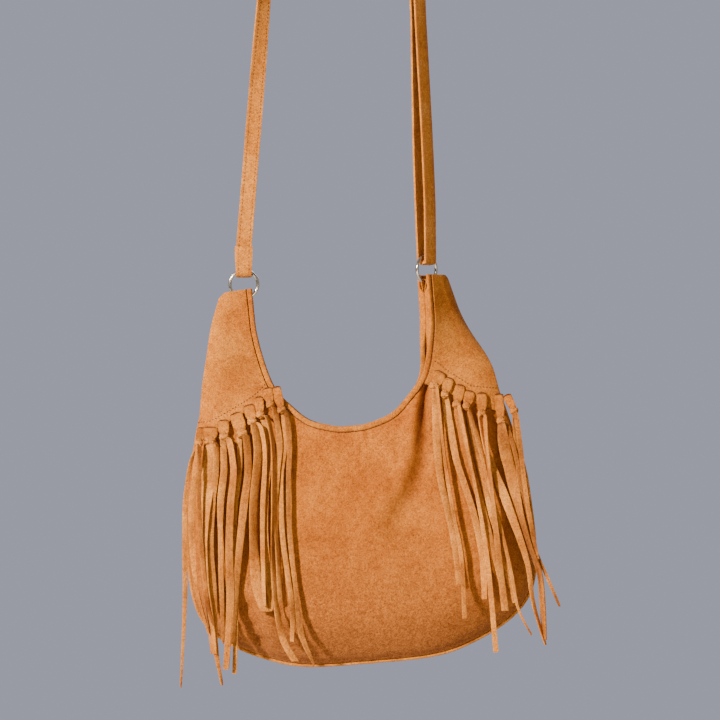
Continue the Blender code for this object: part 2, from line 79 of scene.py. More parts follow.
# Right half of the mouth edge, from the ear's inner corner to the middle of the mouth: (across, up).
MOUTH = [(88, 190), (87.7, 170), (87, 148), (83, 123), (77, 99.5), (70, 84), (59, 71), (41, 54.5),
         (16, 46), (0, 45)]
# The outer edge, from the ear's outer corner to the middle of the bottom, paired with MOUTH.
OUTER = [(119, 188), (131, 156), (138, 127), (145, 97), (150, 68), (156, 43), (170, -30), (163, -134),
         (88, -183), (0, -190)]
YOKE_END = 5 / 9
# The ear's rounded corner, and the millimetres down its side for each unit of half.
EAR_CORNER, EAR_RATE = 6.5, 180.0
# Depth of each panel from the middle plane, against height.
DEPTH = [(190, 5.6), (150, 6.4), (100, 9), (50, 13), (0, 22), (-60, 31), (-110, 35), (-150, 33), (-190, 30)]
SPREAD = [(190, 14), (120, 18), (60, 34), (0, 48), (-110, 58), (-190, 60)]



def smooth(low, high, value):
    share = min(max((value - low) / (high - low), 0.0), 1.0)
    return share * share * (3.0 - 2.0 * share)


def read(table, at):
    """The table's value at a height, smoothly joined; the table runs downwards."""
    if at >= table[0][0]:
        return table[0][1]
    for (high, first), (low, second) in zip(table, table[1:]):
        if at >= low:
            return second + (first - second) * (at - low) / (high - low)
    return table[-1][1]


def along(points, share):
    """A point on a smooth curve through the points, which are evenly spaced in share."""
    last = len(points) - 1
    place = min(max(share, 0.0), 1.0) * last
    i = min(int(place), last - 1)
    t = place - i
    before, after = points[max(i - 1, 0)], points[min(i + 2, last)]
    out = []
    for a, b, c, d in zip(before, points[i], points[i + 1], after):
        out.append(0.5 * (2 * b + (c - a) * t + (2 * a - 5 * b + 4 * c - d) * t * t
                          + (3 * b - a - 3 * c + d) * t * t * t))
    return Vector(out)


OUTLINE = [along(OUTER, i / 60) for i in range(61)]


def edge_distance(across, up):
    """How far a point of the panel is from the outer edge."""
    here, best = Vector((abs(across), up)), 1e9
    for a, b in zip(OUTLINE, OUTLINE[1:]):
        run = b - a
        t = min(max((here - a).dot(run) / run.length_squared, 0.0), 1.0)
        best = min(best, (here - a - run * t).length)
    return best


def depth(across, up):
    """How far the panel stands from the bag's middle plane."""
    near = min(edge_distance(across, up) / read(SPREAD, up), 1.0)
    rise = (1.0 - (1.0 - near) ** 2) ** 0.85
    return EDGE_DEPTH + (read(DEPTH, up) - EDGE_DEPTH) * rise


def hang(across, y, up):
    """A point of the bag, in metres in the world: the right ear is twisted, then the bag is tipped."""
    if across > 0:
        turn = TWIST * smooth(70, 160, up) * smooth(20, 60, across)
        from_axis = across - TWIST_ABOUT
        across = TWIST_ABOUT + from_axis * math.cos(turn) - y * math.sin(turn)
        y = from_axis * math.sin(turn) + y * math.cos(turn)
        across -= TWIST_PULL * smooth(80, 130, up)
    across += BAG_SHIFT
    c, s = math.cos(BAG_ROLL), math.sin(BAG_ROLL)
    return BAG_CENTRE + Vector((across * c - up * s, y, across * s + up * c)) * MM


def panel_point(share, out):
    """share runs from the right ear's top (0) round the mouth to the left ear's top (1); out runs from
    the mouth (0) to the outer edge (1)."""
    side = 1 if share <= 0.5 else -1
    half = 2 * min(share, 1 - share)
    mouth, outer = along(MOUTH, half), along(OUTER, half)
    reach = outer - mouth
    start = mouth + reach.normalized() * (BINDING_WIDTH + 3 * GAP)
    stop = outer - reach.normalized() * 0.4
    place = start.lerp(stop, out)
    # The ear's outer corner is rounded.
    from_end = 1 - min(half * EAR_RATE / EAR_CORNER, 1.0)
    from_side = 1 - min((stop - place).length / EAR_CORNER, 1.0)
    if from_end > 0 and from_side > 0:
        squash = 1 - max(from_end, from_side) / math.hypot(from_end, from_side)
        place -= reach.normalized() * from_side * squash * EAR_CORNER
        place.y -= from_end * squash * EAR_CORNER
    return side * place.x, place.y



ring_left_centre = hang(RING_ACROSS, 0, RING_UP)
ring_right_centre = hang(-RING_ACROSS, 0, RING_UP)
drop = Vector((0, 0, RING_MAJOR * MM))

# Each thong: its slit and its knot, the width of its loop, then its strands, each a list of (x, z, width).
# x is across from the origin and z is up from BAG_CENTRE, in the hanging bag, in millimetres.
THONGS = {
    "left": [
        ((-142, 42), (-145, 28), 7, [
            [(-145, 24, 4), (-153, 8, 4), (-158, -30, 5), (-158, -70, 6), (-158, -130, 5), (-162, -213, 2)],
            [(-145, 23, 5), (-148, 0, 6), (-151, -35, 8), (-150, -75, 8), (-146, -115, 4), (-134, -160, 2)],
            [(-144, 21, 4), (-144, -10, 4), (-143, -50, 5),
             (-140, -90, 5), (-135, -130, 4), (-129, -152, 3)],
        ]),
        ((-134, 43), (-134, 30), 13, [
            [(-134, 24, 13), (-135, 0, 17), (-137, -30, 12), (-139, -70, 6),
             (-137, -105, 6), (-133, -140, 7), (-129, -180, 6)],
            [(-128, 24, 7), (-128, 0, 7), (-131, -35, 7), (-132, -75, 6),
             (-130, -120, 9), (-128, -170, 7), (-121, -211, 2)],
        ]),
        ((-121, 50), (-120, 34), 9, [
            [(-121, 28, 7), (-120, 0, 8), (-123, -30, 8), (-123, -70, 5), (-122, -110, 6), (-120, -170, 3)],
            [(-114, 28, 7), (-110, 0, 7), (-113, -35, 8), (-114, -80, 9), (-113, -130, 9), (-117, -195, 6)],
        ]),
        ((-109, 57), (-102, 37), 11, [
            [(-105, 31, 6), (-104, 0, 5), (-108, -35, 5), (-109, -75, 5), (-107, -130, 4), (-109, -200, 5)],
            [(-98, 32, 8), (-96, 0, 8), (-100, -35, 9), (-104, -75, 8), (-108, -120, 7), (-111, -170, 6)],
        ]),
        ((-96, 65), (-92, 49), 9, [
            [(-89, 43, 8), (-86, 15, 9), (-90, -30, 10), (-90, -70, 10), (-87, -110, 13), (-79, -138, 10)],
            [(-83, 42, 5), (-79, 15, 5), (-81, -30, 6), (-81, -75, 5), (-79, -132, 4)],
        ]),
        ((-86, 73), (-84, 56), 7, [
            [(-80, 50, 8), (-74, 20, 7), (-78, -20, 7), (-78, -60, 6), (-75, -105, 7), (-73, -138, 6)],
            [(-76, 50, 4), (-71, 20, 3), (-71, -30, 4), (-71, -80, 5),
             (-68, -130, 5), (-61, -165, 8), (-49, -187, 9)],
        ]),
        ((-77, 82), (-74, 66), 7, [
            [(-70, 60, 5), (-65, 30, 7), (-67, 0, 7), (-69, -40, 5), (-66, -90, 4), (-64, -130, 5)],
        ]),
        ((-69, 83), (-63, 61), 7, [
            [(-61, 56, 5), (-60, 25, 6), (-63, -10, 5), (-62, -60, 6),
             (-56, -105, 6), (-52, -135, 6), (-52, -168, 4)],
            [(-58, 56, 6), (-55, 25, 6), (-56, -20, 5), (-54, -70, 5),
             (-48, -120, 5), (-43, -160, 7), (-30, -191, 3)],
        ]),
    ],
    "right": [
        ((96, 98), (89, 84), 10, [
            [(90, 79, 8), (91, 30, 9), (95, -10, 8), (102, -40, 7), (109, -75, 8), (113, -111, 7)],
            [(92, 79, 3), (97, 30, 3), (102, -10, 4), (108, -45, 4), (115, -85, 5), (118, -145, 5)],
        ]),
        ((104, 92), (99, 76), 8, [
            [(100, 71, 8), (105, 40, 9), (111, 10, 8), (119, -15, 8),
             (128, -45, 8), (136, -85, 7), (138, -126, 6)],
        ]),
        ((115, 85), (111, 66), 8, [
            [(114, 61, 7), (120, 30, 7), (127, 0, 7), (134, -28, 7),
             (141, -55, 7), (147, -80, 7), (154, -108, 6)],
            [(114, 61, 4), (122, 20, 4), (130, -20, 4), (137, -60, 5), (143, -110, 6), (149, -178, 6)],
        ]),
        ((125, 79), (121, 64), 8, [
            [(122, 59, 6), (129, 25, 7), (136, -5, 7), (144, -40, 6),
             (153, -70, 7), (161, -100, 7), (168, -130, 6)],
            [(124, 59, 4), (134, 20, 4), (144, -20, 4), (155, -60, 4),
             (164, -100, 4), (171, -135, 3), (184, -161, 2)],
        ]),
        ((136, 77), (136, 57), 8, [
            [(135, 51, 6), (139, 25, 5), (147, 3, 8), (156, -20, 11), (165, -45, 10),
             (174, -70, 8), (181, -95, 6), (186, -130, 4), (198, -171, 2)],
            [(139, 51, 4), (141, 20, 4), (145, -15, 5), (149, -55, 5), (153, -95, 7), (158, -137, 8)],
        ]),
        ((153, 76), (155, 50), 7, [
            [(156, 44, 11), (159, 20, 14), (166, -10, 12), (173, -40, 8),
             (181, -70, 7), (192, -100, 6), (195, -130, 6), (197, -165, 4)],
            [(161, 44, 5), (168, 20, 5), (174, -10, 5), (180, -45, 5),
             (188, -78, 5), (200, -105, 4), (212, -133, 3)],
        ]),
        ((161, 75), (168, 60), 6, [
            [(168, 54, 4), (170, 20, 5), (174, -20, 5), (181, -60, 5), (190, -95, 4), (196, -130, 4)],
            [(170, 54, 6), (173, 30, 6), (176, 5, 5), (180, -30, 5), (185, -60, 5), (190, -86, 4)],
        ]),
    ],
}
HUNG = {}
FRINGE_INNER = (-108, 132)
THONG_THICK = 1.4
LAYERS_FROM, LAYER = 3.2, 1.7


def bag_place(x, z):
    """(across, up) in the bag's outline frame, for a place in the world."""
    c, s = math.cos(BAG_ROLL), math.sin(BAG_ROLL)
    x -= BAG_CENTRE.x / MM
    return x * c + z * s - BAG_SHIFT, z * c - x * s


def front_of(x, z):
    """How far forward the bag's front is behind a place, in millimetres; 0 beside the bag."""
    across, up = bag_place(x, z)
    if edge_distance(across, up) < 1.0 or abs(across) > 168 or up > 180 or up < -185:
        return 0.0
    return depth(across, up) + SUEDE / 2


def hung_over(x, z):
    """How far forward a strand hangs: at least as far as the bag's front reaches above it."""
    key = (round(min(max(x, FRINGE_INNER[0]), FRINGE_INNER[1])), round(z))
    if key not in HUNG:
        above = 0.0 if z > 60.0 else hung_over(x, z + 6.0)
        HUNG[key] = max(front_of(*key), above)
    return HUNG[key]


def turned(angle):
    return Vector((math.cos(angle), math.sin(angle), 0))


def strap_route():
    """Stations of the whole strap, from its sewn end at the left ring to its end on the slider."""
    half_thick = STRAP_THICK / 2
    stations = []
    # The turned-up end in front of the left ring, then under the wire and up behind it.
    wire = ring_left_centre + drop
    bend, sag = RING_WIRE + 1.5 + half_thick, 1.7
    across = Vector((1, 0, 0))
    for height, out in ((24, 2.4), (14, 2.5), (7, 3.2)):
        stations.append((wire + Vector((0, -out, height)) * MM, across))
    for i in range(9):
        angle = math.pi * i / 8
        spot = Vector((0, -math.cos(angle) * bend, -math.sin(angle) * bend - sag))
        stations.append((wire + spot * MM, across))
    for height, out in ((7, 2.2), (14, 0.3), (24, 0.0)):
        stations.append((wire + Vector((0, out, height)) * MM, across))
    # Up to the crown, turning until the strip lies flat on its arch.
    foot = wire + Vector((0, 0, 0.024))
    shoulder = Vector((-CROWN_HALF * MM, 0, -CROWN_HALF * MM))
    for i in range(1, 13):
        share = i / 13
        stations.append((foot.lerp(shoulder, share), turned(smooth(0.15, 1.0, share) * math.pi / 2)))
    across = Vector((0, 1, 0))
    bend = CROWN_HALF - CROWN_FLAT
    for side in (-1, 1):
        for i in range(9):
            angle = math.pi / 2 * (i / 8 if side < 0 else 1 - i / 8)
            x = side * (CROWN_FLAT + math.cos(angle) * bend)
            z = -CROWN_HALF + math.sin(angle) * bend + CROWN_FLAT + half_thick
            stations.append((Vector((x, 0, z)) * MM, across))
    # Down to the slider, through it, and down in front to the right ring.
    wire = ring_right_centre + drop
    middle = wire + Vector((-0.011, 0, SLIDER_HEIGHT * MM))
    shoulder = Vector((CROWN_HALF * MM, 0, -CROWN_HALF * MM))
    across, back = turned(TWIST), Vector((-math.sin(TWIST), math.cos(TWIST), 0))
    above = middle + back * 0.0032 + Vector((0, 0, 0.030))
    for i in range(1, 6):
        share = i / 6
        stations.append((shoulder.lerp(above, share), turned(math.pi / 2 + (TWIST - math.pi / 2) * share)))
    for height, out in SLIDER_WEAVE:
        stations.append((middle + (back * out + Vector((0, 0, height))) * MM, across))
    bend, sag = RING_WIRE + 2.3 + half_thick, 3.3
    low, high = wire + Vector((0, 0, 0.010)), middle - Vector((0, 0, 0.022))
    legs = []
    for i in range(1, 8):
        share = i / 8
        apart = 1.8 + (bend + 1.2 - 1.8) * smooth(0.0, 0.8, share)
        legs.append((high.lerp(low, share), apart))
    for place, apart in legs:
        stations.append((place - back * (apart - 3.0 * (1 - smooth(0, 0.3, apart - 1.8))) * MM, across))
    for i in range(9):
        angle = math.pi * i / 8
        spot = -back * math.cos(angle) * bend - Vector((0, 0, math.sin(angle) * bend + sag))
        stations.append((wire + spot * MM, across))
    for place, apart in reversed(legs):
        stations.append((place + back * (apart + 3.4 * (1 - smooth(0, 0.5, apart - 1.8))) * MM, across))
    # The end is wrapped over the slider's middle bar and sewn back on itself.
    bend = BAR_RADIUS + 0.6 + half_thick
    stations.append((middle + (back * 5.6 + Vector((0, 0, -17))) * MM, across))
    stations.append((middle + (back * 5.6 + Vector((0, 0, -10))) * MM, across))
    for i in range(11):
        angle = math.pi * 1.25 * i / 10
        spot = back * math.cos(angle) * bend + Vector((0, 0, math.sin(angle) * bend))
        stations.append((middle + spot * MM, across))
    return stations




# ---------------------------------------------------------------- materials

def node_material(name, roughness, metallic=0.0):
    made = bpy.data.materials.new(name)
    made.use_nodes = True
    shader = made.node_tree.nodes["Principled BSDF"]
    shader.inputs["Roughness"].default_value = roughness
    shader.inputs["Metallic"].default_value = metallic
    return made, made.node_tree, shader


def noise_node(tree, coordinates, scale, detail=4.0, rough=0.6, stretch=None):
    made = tree.nodes.new("ShaderNodeTexNoise")
    made.inputs["Scale"].default_value = scale
    made.inputs["Detail"].default_value = detail
    made.inputs["Roughness"].default_value = rough
    source = coordinates
    if stretch:
        mapping = tree.nodes.new("ShaderNodeMapping")
        mapping.inputs["Scale"].default_value = stretch
        tree.links.new(coordinates, mapping.inputs["Vector"])
        source = mapping.outputs["Vector"]
    tree.links.new(source, made.inputs["Vector"])
    return made.outputs["Fac"]


def ramp_node(tree, value, stops):
    made = tree.nodes.new("ShaderNodeValToRGB")
    ramp = made.color_ramp
    while len(ramp.elements) < len(stops):
        ramp.elements.new(0.5)
    for element, (at, colour) in zip(ramp.elements, stops):
        element.position = at
        element.color = (*colour, 1.0)
    tree.links.new(value, made.inputs["Fac"])
    return made.outputs["Color"]


def blend_node(tree, kind, amount, first, second):
    made = tree.nodes.new("ShaderNodeMixRGB")
    made.blend_type = kind
    for socket, value in (("Fac", amount), ("Color1", first), ("Color2", second)):
        if isinstance(value, bpy.types.NodeSocket):
            tree.links.new(value, made.inputs[socket])
        else:
            made.inputs[socket].default_value = value
    return made.outputs["Color"]


# What the suede's colour is multiplied by: its brushed patches, its nap, and the tone attribute, which
# carries random tone plus painted shade in its folds and painted light on its raised places.
PATCH_SHADES = [(0.32, (0.74, 0.68, 0.62)), (0.50, (1.0, 1.0, 1.0)), (0.68, (1.18, 1.22, 1.26))]
NAP_SPECKS = [(0.36, (0.42, 0.34, 0.28)), (0.50, (1.0, 1.0, 1.0)), (0.64, (1.45, 1.55, 1.7))]
TONE_SHADES = [(0.0, (0.22, 0.13, 0.09)), (0.5, (1.0, 1.0, 1.0)), (1.0, (1.35, 1.5, 1.7))]
BELLY_RUB = [(0.38, (0.50, 0.42, 0.38)), (0.5, (1.0, 1.0, 1.0)), (0.62, (1.5, 1.6, 1.75))]


def suede(name, dark, mid, light, low_painted_tint=None):
    """Napped suede: broad mottling, brushed patches, a fine grain, and short-pile sheen, with painted light
    and shade from the tone attribute and, where given, a painted tint low down.
    """
    made, tree, shader = node_material(name, 0.92)
    place = tree.nodes.new("ShaderNodeTexCoord").outputs["Object"]
    broad = noise_node(tree, place, 26.0, 4.0)
    patches = noise_node(tree, place, 170.0, 6.0, 0.75)
    nap = noise_node(tree, place, 700.0, 6.0, 0.85)
    colour = ramp_node(tree, broad, [(0.30, dark), (0.50, mid), (0.72, light)])
    # Low on the bag the colour is blended into a darker, pinker tint: painted light, the tint the light
    # gives there.
    if low_painted_tint:
        split = tree.nodes.new("ShaderNodeSeparateXYZ")
        tree.links.new(place, split.inputs["Vector"])
        low = tree.nodes.new("ShaderNodeMapRange")
        low.inputs["From Min"].default_value = BELLY_TOP
        low.inputs["From Max"].default_value = BELLY_LOW
        tree.links.new(split.outputs["Z"], low.inputs["Value"])
        colour = blend_node(tree, "MIX", low.outputs["Result"], colour, (*low_painted_tint, 1.0))
    shade = ramp_node(tree, patches, PATCH_SHADES)
    colour = blend_node(tree, "MULTIPLY", 1.0, colour, shade)
    if low_painted_tint:
        rough = tree.nodes.new("ShaderNodeMath")
        rough.operation = "MULTIPLY"
        rough.inputs[1].default_value = 0.55
        tree.links.new(low.outputs["Result"], rough.inputs[0])
        rubbed = ramp_node(tree, noise_node(tree, place, 420.0, 5.0, 0.8), BELLY_RUB)
        colour = blend_node(tree, "MULTIPLY", rough.outputs[0], colour, rubbed)
    specks = ramp_node(tree, nap, NAP_SPECKS)
    colour = blend_node(tree, "MULTIPLY", 1.0, colour, specks)
    # The tone attribute: random tone plus painted light and shade, multiplied into the colour.
    tone = tree.nodes.new("ShaderNodeAttribute")
    tone.attribute_name = "tone"
    tone_and_painted_light = ramp_node(tree, tone.outputs["Fac"], TONE_SHADES)
    colour = blend_node(tree, "MULTIPLY", 1.0, colour, tone_and_painted_light)
    tree.links.new(colour, shader.inputs["Base Color"])
    shader.inputs["Sheen Weight"].default_value = 0.06
    shader.inputs["Sheen Roughness"].default_value = 0.45
    shader.inputs["Sheen Tint"].default_value = (1.0, 0.78, 0.55, 1.0)
    shader.inputs["Specular IOR Level"].default_value = 0.12
    coarse = tree.nodes.new("ShaderNodeBump")
    coarse.inputs["Strength"].default_value = 0.35
    coarse.inputs["Distance"].default_value = 0.0012
    tree.links.new(patches, coarse.inputs["Height"])
    fine = tree.nodes.new("ShaderNodeBump")
    fine.inputs["Strength"].default_value = 0.5
    fine.inputs["Distance"].default_value = 0.0005
    tree.links.new(nap, fine.inputs["Height"])
    tree.links.new(coarse.outputs["Normal"], fine.inputs["Normal"])
    tree.links.new(fine.outputs["Normal"], shader.inputs["Normal"])
    return made


def thread(name, colour):
    """Sewing thread: a close ply twist on a matt yarn."""
    made, tree, shader = node_material(name, 0.8)
    place = tree.nodes.new("ShaderNodeTexCoord").outputs["Object"]
    ply = noise_node(tree, place, 1600.0, 2.0)
    shades = ramp_node(tree, ply, [(0.35, tuple(c * 0.7 for c in colour)), (0.65, colour)])
    tree.links.new(shades, shader.inputs["Base Color"])
    return made


def bright_metal(name):
    """Pale gold plate: mirror bright, with faint rubbed scratches."""
    made, tree, shader = node_material(name, 0.16, 1.0)
    place = tree.nodes.new("ShaderNodeTexCoord").outputs["Object"]
    rubbed = noise_node(tree, place, 500.0, 4.0, 0.6, (1.0, 1.0, 6.0))
    shades = ramp_node(tree, rubbed, [(0.3, (0.40, 0.34, 0.24)), (0.7, (0.62, 0.55, 0.42))])
    tree.links.new(shades, shader.inputs["Base Color"])
    rough = tree.nodes.new("ShaderNodeMapRange")
    rough.inputs["To Min"].default_value = 0.10
    rough.inputs["To Max"].default_value = 0.26
    tree.links.new(rubbed, rough.inputs["Value"])
    tree.links.new(rough.outputs["Result"], shader.inputs["Roughness"])
    bump = tree.nodes.new("ShaderNodeBump")
    bump.inputs["Strength"].default_value = 0.12
    bump.inputs["Distance"].default_value = 0.0002
    tree.links.new(rubbed, bump.inputs["Height"])
    tree.links.new(bump.outputs["Normal"], shader.inputs["Normal"])
    return made


BELLY_TOP, BELLY_LOW = -0.80, -0.93
# The panel's low tint is painted light.
panel_suede = suede("panel_suede", (0.265, 0.064, 0.0045), (0.325, 0.088, 0.0070), (0.385, 0.116, 0.0115),
                    low_painted_tint=(0.265, 0.076, 0.0115))
yoke_suede = suede("yoke_suede", (0.300, 0.080, 0.0062), (0.370, 0.114, 0.0112), (0.430, 0.146, 0.0175))
strap_suede = suede("strap_suede", (0.33, 0.096, 0.009), (0.41, 0.136, 0.0165), (0.48, 0.175, 0.026))
thong_suede = suede("thong_suede", (0.285, 0.080, 0.0085), (0.375, 0.124, 0.0165), (0.445, 0.165, 0.027))
# A darker copy of the thong suede for the strands' back faces: painted shade.
thong_shaded_back = suede("thong_shaded_back", (0.150, 0.040, 0.010), (0.210, 0.062, 0.016), (0.265, 0.086, 0.024))
# Near-black suede for painted shade: the seam's ditch and the slits' mouths.
painted_shade_suede = suede("shadowed_seam", (0.07, 0.018, 0.006), (0.09, 0.025, 0.008), (0.11, 0.03, 0.01))
tan_thread = thread("tan_thread", (0.17, 0.045, 0.009))
# Thread coloured near-black for the yoke's stitches: painted shade of the stitch holes.
stitch_shade_thread = thread("stitch_shade_thread", (0.085, 0.022, 0.005))
metal = bright_metal("pale_gold")


# ---------------------------------------------------------------- mesh helpers

def wave(seed, value):
    return noise.noise(Vector((seed * 7.31, value, seed * 1.7)))


def keep(name, mesh, look, body, nodes=()):
    made = bpy.data.objects.new(name, mesh)
    bpy.context.scene.collection.objects.link(made)
    mesh.materials.clear()
    mesh.materials.append(look)
    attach(made, body)
    if nodes:
        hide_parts(*nodes)
    return made


def plain_tone(s, t):
    return 0.5


def add_grid(shape, columns, rows, place, tone=plain_tone):
    """A grid primitive in shape, columns by rows faces, each point moved to place(s, t) in metres."""
    layer = shape.verts.layers.float.get("tone") or shape.verts.layers.float.new("tone")
    made = bmesh.ops.create_grid(shape, x_segments=columns, y_segments=rows, size=1.0)
    for vertex in made["verts"]:
        s, t = (vertex.co.x + 1) / 2, (vertex.co.y + 1) / 2
        vertex.co = place(s, t)
        vertex[layer] = tone(s, t)


def finished(name, shape):
    """The shape as a smooth mesh whose tone is plain wherever none was given."""
    if not shape.verts.layers.float.get("tone"):
        layer = shape.verts.layers.float.new("tone")
        for vertex in shape.verts:
            vertex[layer] = 0.5
    mesh = bpy.data.meshes.new(name)
    shape.to_mesh(mesh)
    shape.free()
    mesh.shade_smooth()
    return mesh


def grid(name, columns, rows, place, tone=plain_tone):
    shape = bmesh.new()
    add_grid(shape, columns, rows, place, tone)
    return finished(name, shape)


def thicken(made, thickness, rounded, even=True):
    solid = made.modifiers.new("Thickness", "SOLIDIFY")
    solid.thickness = thickness * MM
    solid.offset = 0.0
    solid.use_even_offset = even
    if rounded:
        edge = made.modifiers.new("Edge", "BEVEL")
        edge.width = rounded * MM
        edge.segments = 2
        edge.limit_method = "ANGLE"
        edge.angle_limit = math.radians(50)
    return made


def tube(name, points, radius, look, body, cyclic=False, nodes=(), swell=None):
    """A round cord through the points, as a mesh; swell scales its radius point by point."""
    curve = bpy.data.curves.new(name, "CURVE")
    curve.dimensions = "3D"
    curve.bevel_depth = radius * MM
    curve.bevel_resolution = 3
    curve.use_fill_caps = True
    line = curve.splines.new("POLY")
    line.points.add(len(points) - 1)
    for i, (point, place) in enumerate(zip(line.points, points)):
        point.co = (*place, 1.0)
        point.radius = swell[i] if swell else 1.0
    line.use_cyclic_u = cyclic
    source = bpy.data.objects.new(name, curve)
    bpy.context.scene.collection.objects.link(source)
    bpy.context.view_layer.update()
    graph = bpy.context.evaluated_depsgraph_get()
    mesh = bpy.data.meshes.new_from_object(source.evaluated_get(graph))
    bpy.data.objects.remove(source, do_unlink=True)
    shape = bmesh.new()
    shape.from_mesh(mesh)
    return keep(name, finished(name, shape), look, body, nodes)


def stitches(name, runs, look, body, pitch=3.4, length=2.2, radius=0.42):
    """Stitches along each run, a list of (place, outward normal), sunk a little into the suede."""
    shape = bmesh.new()
    for run in runs:
        travelled, due = 0.0, 0.0
        for (a, normal), (b, _) in zip(run, run[1:]):
            step = (b - a).length / MM
            while due <= travelled + step and step > 1e-6:
                centre = a.lerp(b, (due - travelled) / step)
                ahead = (b - a).normalized()
                side = ahead.cross(normal).normalized()
                out = side.cross(ahead).normalized()
                made = bmesh.ops.create_icosphere(shape, subdivisions=1, radius=1.0)
                for vertex in made["verts"]:
                    x, y, z = vertex.co
                    vertex.co = centre + (ahead * x * length / 2 + side * y * radius + out * z * radius) * MM
                due += pitch
            travelled += step
    mesh = finished(name, shape)
    return keep(name, mesh, look, body)


def bell(distance, width):
    return math.exp(-(distance / width) ** 2)


def line_distance(x, z, points):
    """Distance from a line through points, and how far along it, from 0 to 1, the nearest place is."""
    here, best, at = Vector((x, z)), 1e9, 0.0
    for i, (a, b) in enumerate(zip(points, points[1:])):
        start, run = Vector(a), Vector(b) - Vector(a)
        t = min(max((here - start).dot(run) / run.length_squared, 0.0), 1.0)
        gap = (here - start - run * t).length
        if gap < best:
            best, at = gap, (i + t) / (len(points) - 1)
    return best, at


# ---------------------------------------------------------------- the bag

# Folds in the front, in the hanging bag's (x, z): the soft crease under the right yoke and its ridge.
CREASE = [(81, 84), (78, 62), (77, 38), (75, 12), (67, -18), (54, -40), (40, -56)]
RIDGE = [(70, 66), (66, 34), (63, 8), (53, -16), (40, -34)]
# The back's folds are the front's, mirrored and moved across by this.
BACK_SHIFT = 60.0
# Slack ripples low on the left, over the bottom seam.
RIPPLES = [((-98, -128), (-84, -174), 4.5, -4.0), ((-84, -120), (-70, -180), 6.0, 3.4),
           ((-70, -130), (-52, -178), 4.5, -3.4), ((-106, -150), (-60, -184), 3.0, -2.2),
           ((-44, -150), (-34, -184), 4.0, -2.0), ((-56, -140), (-46, -182), 4.0, 1.8)]


def relief(x, z, across, mouth_gap):
    """How far the front stands out or sinks for its folds, in millimetres."""
    out = 0.0
    off, at = line_distance(x, z, CREASE)
    out -= 6.6 * bell(off, 3.6 + 6.4 * at) * (1 - at) ** 0.4
    off, at = line_distance(x, z, RIDGE)
    out += 3.4 * bell(off, 7.0) * (1 - at * 0.6)
    for low, high, width, rise in RIPPLES:
        off, at = line_distance(x, z, [low, high])
        out += rise * bell(off, width)
    out += 1.5 * noise.noise(Vector((x * 0.017, 3.1, z * 0.013)))
    out += 0.7 * noise.noise(Vector((x * 0.05, 9.7, z * 0.035)))
    pucker = math.sin(across * 0.62 + 1.3 * math.sin(across * 0.11))
    out += 0.35 * pucker * math.exp(-mouth_gap / 9.0)
    return out


def panel_place(share, out, front):
    """A point of a panel's middle surface."""
    across, up = panel_point(share, out)
    stand = depth(across, up)
    flat = hang(across, 0, up)
    mouth = along(MOUTH, 2 * min(share, 1 - share))
    gap = (Vector((abs(across), up)) - mouth).length
    edge = edge_distance(across, up)
    x, z = flat.x / MM, (flat.z - BAG_CENTRE.z) / MM
    folds = relief(x if front else -x - BACK_SHIFT, z, across, gap)
    stand += folds * min(edge / 12.0, 1.0) * min(1.0, gap / 5.0)
    stand -= 1.5 * bell(edge - 5.0, 1.7) * smooth(-90, -140, up)
    return hang(across, -stand if front else stand, up)


def panel_tone(share, out, front):
    """Painted shade in the crease, in the ripples' hollows and in the groove along the bottom edge, painted
    light on the ripples that stand proud, over a little random tone.
    """
    across, up = panel_point(share, out)
    flat = hang(across, 0, up)
    x, z = flat.x / MM, (flat.z - BAG_CENTRE.z) / MM
    tone = 0.5 + 0.05 * noise.noise(Vector((x * 0.04, z * 0.04, 5.0 if front else 9.0)))
    if front:
        # Painted shade along the crease.
        off, at = line_distance(x, z, CREASE)
        tone -= 0.46 * bell(off, 2.8 + 8.4 * at) * (1 - at * 0.6)
        # Painted light on the ripples' ridges, painted shade in their hollows.
        for low, high, width, rise in RIPPLES:
            off, at = line_distance(x, z, [low, high])
            tone += 0.04 * rise * bell(off, width)
    edge = edge_distance(across, up)
    # Painted shade in the groove along the bottom edge.
    tone -= 0.20 * bell(edge - 4.6, 1.5) * smooth(-90, -140, up)
    return min(max(tone, 0.0), 1.0)


def make_panel(name, front, columns, rows):
    mesh = grid(name, columns, rows, lambda s, t: panel_place(s, t, front),
                lambda s, t: panel_tone(s, t, front))
    made = keep(name + "_suede", mesh, panel_suede, "bag", (name,))
    return thicken(made, SUEDE, rounded=0.35)


make_panel("front_panel", True, 150, 64)
make_panel("back_panel", False, 110, 44)

YOKE_LIFT = SUEDE + 0.5


def yoke_place(side, s, t, lift=0.0):
    """A point on the yoke: s runs from the ear's top to the flange, t from the mouth to the outer edge."""
    share = s * YOKE_END / 2
    share = share if side > 0 else 1 - share
    across, up = panel_point(share, t)
    steep = 1.0 - min(edge_distance(across, up) / read(SPREAD, up), 1.0)
    stand = depth(across, up) + (YOKE_LIFT + lift) * (1.0 + 0.6 * steep)
    stand += 0.5 * noise.noise(Vector((across * 0.03, 5.0 * side, up * 0.03)))
    flange = smooth(0.86, 1.0, s)
    stand += flange * (1.2 + 0.5 * math.sin(t * 52.0 + side))
    return hang(across, -stand, up)


def yoke_tone(side, s, t):
    across, up = panel_point(s * YOKE_END / 2 if side > 0 else 1 - s * YOKE_END / 2, t)
    tone = 0.5 + 0.06 * noise.noise(Vector((across * 0.05, up * 0.05, 2.0 * side)))
    # Painted shade in a crease on the left ear.
    if side < 0:
        tone -= 0.10 * bell((Vector((across, up)) - Vector((-104, 120))).length, 20.0)
    # Painted shade along the flange's lower edge, over a little random tone.
    return tone - 0.15 * bell((1.0 - s) * 60.0, 0.8)


